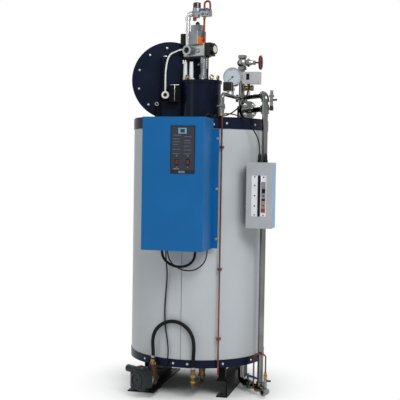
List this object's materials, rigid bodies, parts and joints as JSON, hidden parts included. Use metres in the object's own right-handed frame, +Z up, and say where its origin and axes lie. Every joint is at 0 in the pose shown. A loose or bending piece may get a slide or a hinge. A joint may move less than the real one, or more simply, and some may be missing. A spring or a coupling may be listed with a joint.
{
  "type": "vertical steam boiler",
  "caption": "Small vertical once-through steam boiler with jacketed shell on skids, gas burner and blower on top, control box, level column, valves and feed pump.",
  "frame": {"origin": "on the floor under the axis of the boiler, at the centre of the anchor holes", "axes": "+Z up along the shell, the control box faces -Y, the steam outlet and level column are at +X"},
  "size_m": [0.9518, 1.1095, 2.309],
  "materials": {
    "jacket_enamel": "light grey gloss enamel on sheet steel",
    "navy_enamel": "navy gloss enamel",
    "black_enamel": "black semi-gloss enamel",
    "control_blue": "blue powder coat",
    "panel_film": "dark grey printed film",
    "rocker_red": "red translucent plastic",
    "galvanised_steel": "galvanised pipe and malleable fittings",
    "stainless_steel": "cast stainless, satin",
    "gauge_chrome": "bright steel case",
    "switch_grey": "light grey enamel",
    "diecast": "die-cast aluminium",
    "black_plastic": "black moulded plastic",
    "white_tube": "white tube and silicone boots",
    "copper": "dull copper tube",
    "brass": "yellow brass fittings",
    "level_box_grey": "light grey enamel",
    "level_scale": "white scale plate behind glass",
    "handwheel_red": "dark red enamel",
    "lever_blue": "blue dipped grip",
    "pump_grey": "dark grey enamel",
    "pump_bronze": "cast bronze",
    "hose_rubber": "black rubber hose",
    "cable_black": "black cable sheath"
  },
  "bodies": {
    "boiler": {"air_duct": "navy_enamel", "air_signal_line": "white_tube", "balance_pipe": "galvanised_steel", "base_ring": "navy_enamel", "blowdown_pipe": "galvanised_steel", "blower_casing": "navy_enamel", "blower_motor": "black_enamel", "blower_side_plate": "navy_enamel", "bottom_plate": "black_enamel", "burner_cover": "navy_enamel", "burner_drum": "navy_enamel", "cable_bundle": "cable_black", "cable_loop": "cable_black", "control_back": "control_blue", "control_cover": "control_blue", "copper_drain_line": "copper", "display_panel": "panel_film", "drain_fitting": "stainless_steel", "drain_tube": "copper", "feed_hose": "hose_rubber", "feed_inlet": "brass", "flue_spigot": "galvanised_steel", "gas_actuator": "diecast", "gas_outlet": "diecast", "gas_pipe": "galvanised_steel", "gas_switches": "black_plastic", "gas_valve_body": "diecast", "gauge_line": "galvanised_steel", "ignition_boots": "white_tube", "ignition_transformer": "black_enamel", "jacket": "jacket_enamel", "left_skid": "black_enamel", "level_box": "level_box_grey", "level_cable": "cable_black", "level_column": "galvanised_steel", "level_gauge": "level_scale", "level_glands": "black_plastic", "nozzle_flange": "galvanised_steel", "pilot_tube": "copper", "pilot_valve": "diecast", "pressure_gauge": "gauge_chrome", "pressure_switches": "switch_grey", "pump_base": "black_enamel", "pump_cable": "cable_black", "pump_head": "pump_bronze", "pump_motor": "pump_grey", "right_skid": "black_enamel", "steam_header": "galvanised_steel", "stop_valve": "stainless_steel", "switch_cable": "cable_black", "top_band": "navy_enamel", "top_plate": "black_enamel", "try_cock": "stainless_steel"},
    "handwheel": {"handwheel": "handwheel_red"},
    "blowdown_lever": {"blowdown_lever": "lever_blue"},
    "try_cock_lever": {"try_cock_lever": "stainless_steel"},
    "drain_cock_lever": {"drain_cock_lever": "stainless_steel"},
    "power_rocker": {"power_rocker": "rocker_red"},
    "heat_rocker": {"heat_rocker": "rocker_red"}
  },
  "joints": [
    {"name": "handwheel_turn", "type": "hinge", "parent": "boiler", "child": "handwheel", "pos_m": [0.351, 0.027, 1.938], "axis": [1, 0, 0], "range_deg": [0, 1170]},
    {"name": "blowdown_turn", "type": "hinge", "parent": "boiler", "child": "blowdown_lever", "pos_m": [0.33461, -0.09936, 0.088], "axis": [0, 0, 1], "range_deg": [0, 90]},
    {"name": "try_cock_turn", "type": "hinge", "parent": "boiler", "child": "try_cock_lever", "pos_m": [0.45688, -0.19963, 1.7], "axis": [0, 1, 0], "range_deg": [0, 90]},
    {"name": "drain_cock_turn", "type": "hinge", "parent": "boiler", "child": "drain_cock_lever", "pos_m": [0.45765, -0.2374, 0.1], "axis": [0, 1, 0], "range_deg": [0, 90]},
    {"name": "power_rock", "type": "hinge", "parent": "boiler", "child": "power_rocker", "pos_m": [0.024, -0.625, 1.338], "axis": [1, 0, 0], "range_deg": [0, 16]},
    {"name": "heat_rock", "type": "hinge", "parent": "boiler", "child": "heat_rocker", "pos_m": [0.085, -0.625, 1.338], "axis": [1, 0, 0], "range_deg": [0, 16]}
  ]
}
